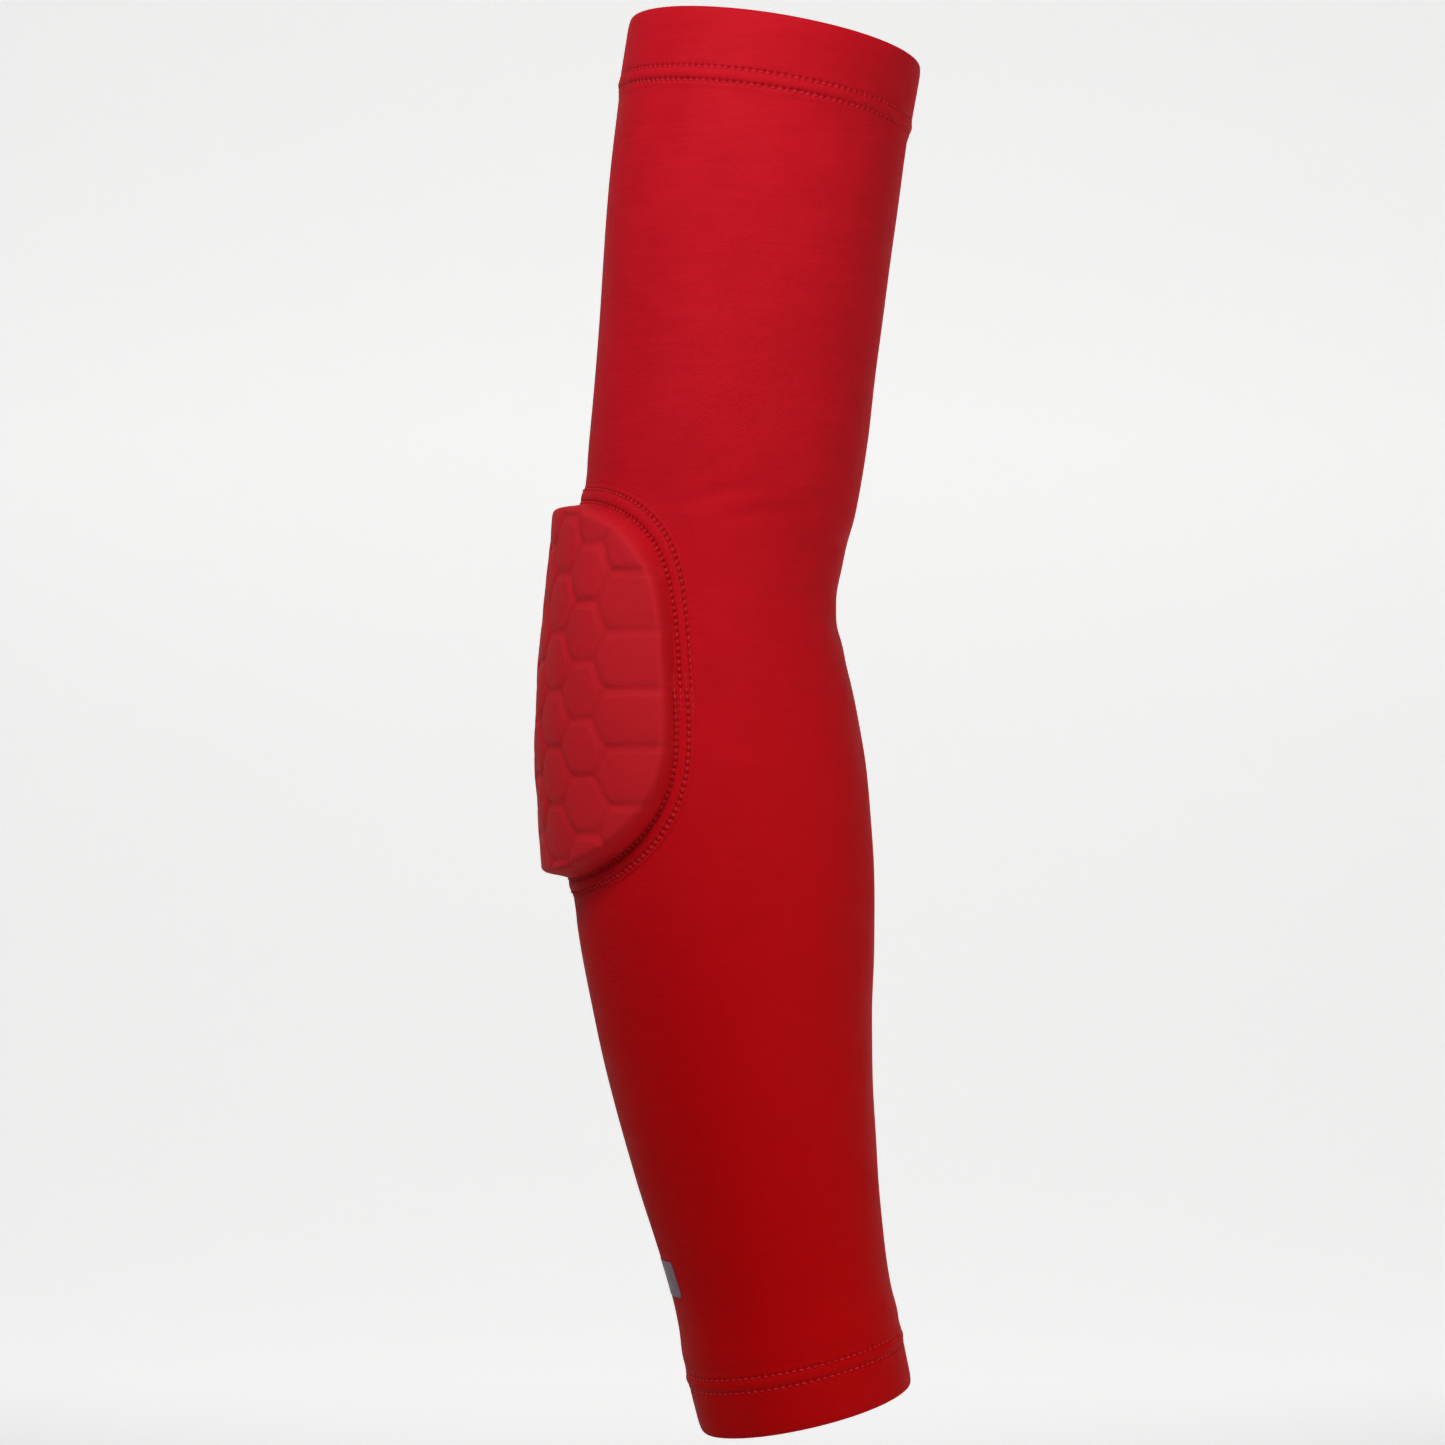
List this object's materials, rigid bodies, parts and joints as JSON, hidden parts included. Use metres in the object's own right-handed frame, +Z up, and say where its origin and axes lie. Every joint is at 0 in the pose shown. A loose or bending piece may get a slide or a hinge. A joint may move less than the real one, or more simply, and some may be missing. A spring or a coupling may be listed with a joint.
{
  "type": "padded elbow and forearm sleeve",
  "caption": "Knitted compression sleeve from upper arm to wrist with a honeycomb foam pad over the elbow, bending at the elbow.",
  "frame": {"origin": "the elbow's bending axis, in the middle of the arm, where the arm that wears the sleeve holds it", "axes": "+Z up the arm from wrist to upper rim, +X towards the crease of the elbow, -X towards the point of the elbow, -Y the outside of the arm"},
  "size_m": [0.1157, 0.1013, 0.4226],
  "materials": {
    "compression_knit": "smooth red warp knit with a soft sheen",
    "pad_cover_fabric": "matt red knit moulded over foam",
    "lining_fabric": "matt dark knit",
    "eva_foam": "matt closed-cell foam",
    "sewing_thread": "twisted textured polyester",
    "silicone": "translucent satin silicone",
    "transfer_ink": "satin grey heat transfer film"
  },
  "bodies": {
    "upper_arm": {"upper_sleeve": "compression_knit", "upper_hem_turn_in": "compression_knit", "upper_hem_thread_near_rim": "sewing_thread", "upper_hem_thread_far_row": "sewing_thread", "upper_hem_looper_thread": "sewing_thread", "grip_strip_1": "silicone", "grip_strip_2": "silicone", "grip_strip_3": "silicone", "side_seam_upper": "sewing_thread"},
    "forearm": {"elbow_sleeve": "compression_knit", "forearm_sleeve": "compression_knit", "wrist_hem_turn_in": "compression_knit", "wrist_hem_thread_near_rim": "sewing_thread", "wrist_hem_thread_far_row": "sewing_thread", "wrist_hem_looper_thread": "sewing_thread", "side_seam_elbow": "sewing_thread", "side_seam_forearm": "sewing_thread", "pad_seam_thread_outer": "sewing_thread", "pad_seam_thread_inner": "sewing_thread", "pad_seam_looper_thread": "sewing_thread", "pad_cover": "pad_cover_fabric", "foam_pad": "eva_foam", "pad_lining": "lining_fabric", "printed_bar": "transfer_ink"}
  },
  "joints": [
    {"name": "elbow_flex", "type": "hinge", "parent": "upper_arm", "child": "forearm", "pos_m": [0, 0, 0], "axis": [0, -1, 0], "range_deg": [-14, 90], "stiffness_Nm_per_rad": 0.06, "deforming": ["elbow_sleeve", "side_seam_elbow"]}
  ]
}
